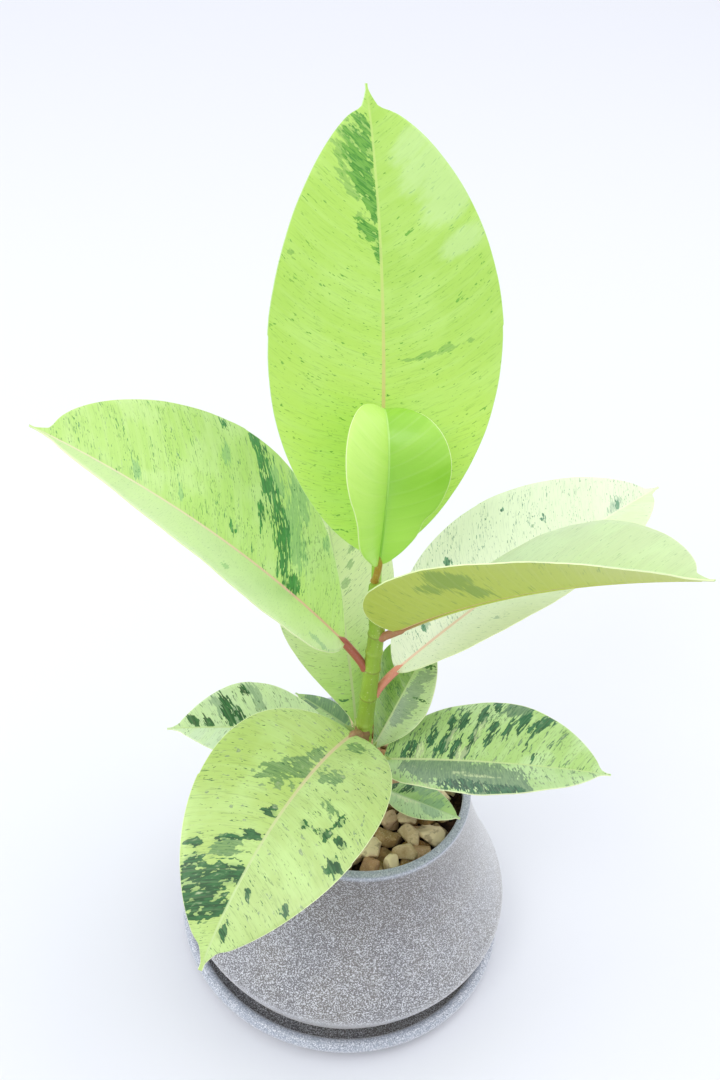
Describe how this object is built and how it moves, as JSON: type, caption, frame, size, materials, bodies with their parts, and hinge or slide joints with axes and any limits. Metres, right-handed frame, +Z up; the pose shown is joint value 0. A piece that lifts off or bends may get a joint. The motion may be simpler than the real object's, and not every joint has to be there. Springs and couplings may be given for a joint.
{
  "type": "potted ficus",
  "caption": "Young rubber fig with broad, variegated, pointed leaves on one upright stem, in a flared speckled grey pot on a matching saucer, with stones over the soil.",
  "frame": {"origin": "centre of the flat underside of the saucer, on the surface that the plant stands on", "axes": "+Z up along the stem; -Y towards the front, where the large drooping leaf hangs; +X to the right seen from the front"},
  "size_m": [0.2374, 0.1946, 0.3884],
  "materials": {
    "stoneware": "satin, fine pale speckle",
    "soil": "matte, crumbly mix of peat and bark",
    "stones": "matte, tan and brown",
    "stem": "satin green bark with brown rings",
    "leaf_lime": "leathery, satin gloss",
    "leaf_speckled": "leathery, satin gloss, dark green specks",
    "leaf_cream": "leathery, satin gloss, cream with fine green specks",
    "leaf_streaked": "leathery, satin gloss, dark green streaks and patches"
  },
  "bodies": {
    "root": {"saucer": "stoneware", "pot": "stoneware", "soil": "soil", "pebbles": "stones", "stem": "stem", "leaf_top": "leaf_lime", "leaf_young": "leaf_lime", "leaf_left": "leaf_speckled", "leaf_right_front": "leaf_speckled", "leaf_right_back": "leaf_cream", "leaf_back": "leaf_cream", "leaf_low_left": "leaf_streaked", "leaf_small_left": "leaf_streaked", "leaf_back_right": "leaf_streaked", "leaf_low_right": "leaf_streaked", "leaf_front": "leaf_speckled", "leaf_small_right": "leaf_streaked"}
  },
  "joints": []
}
